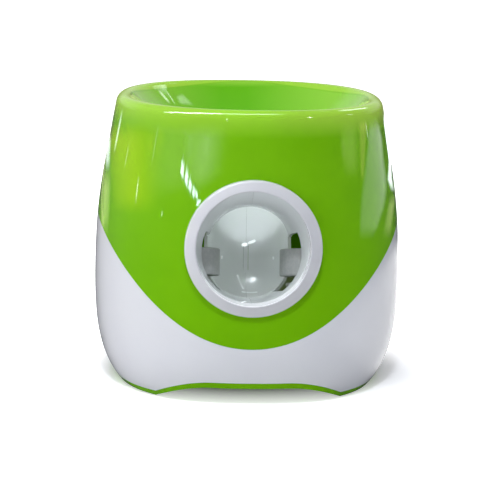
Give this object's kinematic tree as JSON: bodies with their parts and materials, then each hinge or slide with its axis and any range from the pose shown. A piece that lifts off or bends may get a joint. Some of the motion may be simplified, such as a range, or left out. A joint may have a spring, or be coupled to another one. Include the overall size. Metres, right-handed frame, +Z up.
{
  "type": "automatic dog ball launcher",
  "caption": "Squat rounded ball launcher: hopper bowl on top, ringed launch window in front, twin flywheels and a feed lever inside, keys at the back.",
  "frame": {"origin": "middle of the footprint, on the floor plane", "axes": "+Z up, the launch window faces -Y, +X to the right seen from the front"},
  "size_m": [0.2621, 0.2689, 0.2426],
  "materials": {
    "green_shell": "high-gloss lime green moulding",
    "white_shell": "high-gloss white moulding",
    "chute_plastic": "pale grey glossy moulding",
    "tyre_rubber": "smooth grey tyre",
    "foot_rubber": "black non-slip pad",
    "hub_plastic": "black moulded wheel",
    "panel_plastic": "fine-grained charcoal",
    "power_button": "satin white key",
    "distance_button": "satin green key",
    "led_lens": "milky lens",
    "screw_steel": "zinc-plated",
    "motor_steel": "plated can",
    "black_plastic": "black moulding",
    "inner_plastic": "natural moulding",
    "circuit_board": "solder-masked laminate",
    "cell_wrap": "printed sleeve, stands in for a dry cell's weight"
  },
  "bodies": {
    "housing": {"upper_shell": "green_shell", "hopper_bowl": "green_shell", "base_plate": "green_shell", "battery_door": "green_shell", "lower_shell": "white_shell", "bezel_ring": "white_shell", "chute_left": "chute_plastic", "chute_right": "chute_plastic", "rubber_feet": "foot_rubber", "control_panel": "panel_plastic", "dc_inlet": "panel_plastic", "led_lenses": "led_lens", "battery_door_screw": "screw_steel", "shell_screws": "screw_steel", "chute_screws": "screw_steel", "bezel_screws": "screw_steel", "motor_screws": "screw_steel", "mount_screws": "screw_steel", "servo_screws": "screw_steel", "board_screws": "screw_steel", "battery_contacts": "screw_steel", "motor_can_left": "motor_steel", "motor_can_right": "motor_steel", "motor_cap_left": "black_plastic", "motor_cap_right": "black_plastic", "ball_sensor_emitter": "black_plastic", "ball_sensor_receiver": "black_plastic", "feed_servo": "black_plastic", "board_components": "black_plastic", "sounder": "black_plastic", "tact_switches": "black_plastic", "motor_mount_left": "inner_plastic", "motor_mount_right": "inner_plastic", "servo_bracket": "inner_plastic", "battery_box": "inner_plastic", "control_board": "circuit_board", "battery_cell_1": "cell_wrap", "battery_cell_2": "cell_wrap", "battery_cell_3": "cell_wrap", "battery_cell_4": "cell_wrap"},
    "flywheel_left": {"tyre_left": "tyre_rubber", "hub_left": "hub_plastic", "motor_rotor_left": "screw_steel"},
    "flywheel_right": {"tyre_right": "tyre_rubber", "hub_right": "hub_plastic", "motor_rotor_right": "screw_steel"},
    "feed_arm": {"feed_lever": "chute_plastic", "servo_shaft": "inner_plastic"},
    "power_key": {"power_button": "power_button"},
    "distance_key": {"distance_button": "distance_button"}
  },
  "joints": [
    {"name": "flywheel_left_spin", "type": "hinge", "parent": "housing", "child": "flywheel_left", "pos_m": [-0.057, -0.068, 0.11], "axis": [0, 0.2504, 0.9681], "continuous": true},
    {"name": "flywheel_right_spin", "type": "hinge", "parent": "housing", "child": "flywheel_right", "pos_m": [0.057, -0.068, 0.11], "axis": [0, 0.2504, 0.9681], "continuous": true},
    {"name": "feed_arm_swing", "type": "hinge", "parent": "housing", "child": "feed_arm", "pos_m": [0, 0.018, 0.054], "axis": [1, 0, 0], "range_deg": [0, 27]},
    {"name": "power_key_press", "type": "slide", "parent": "housing", "child": "power_key", "axis": [0, -1, 0], "range_m": [0, 0.0015], "stiffness_N_per_m": 500, "springref_m": -0.0005},
    {"name": "distance_key_press", "type": "slide", "parent": "housing", "child": "distance_key", "axis": [0, -1, 0], "range_m": [0, 0.0015], "stiffness_N_per_m": 500, "springref_m": -0.0005}
  ]
}
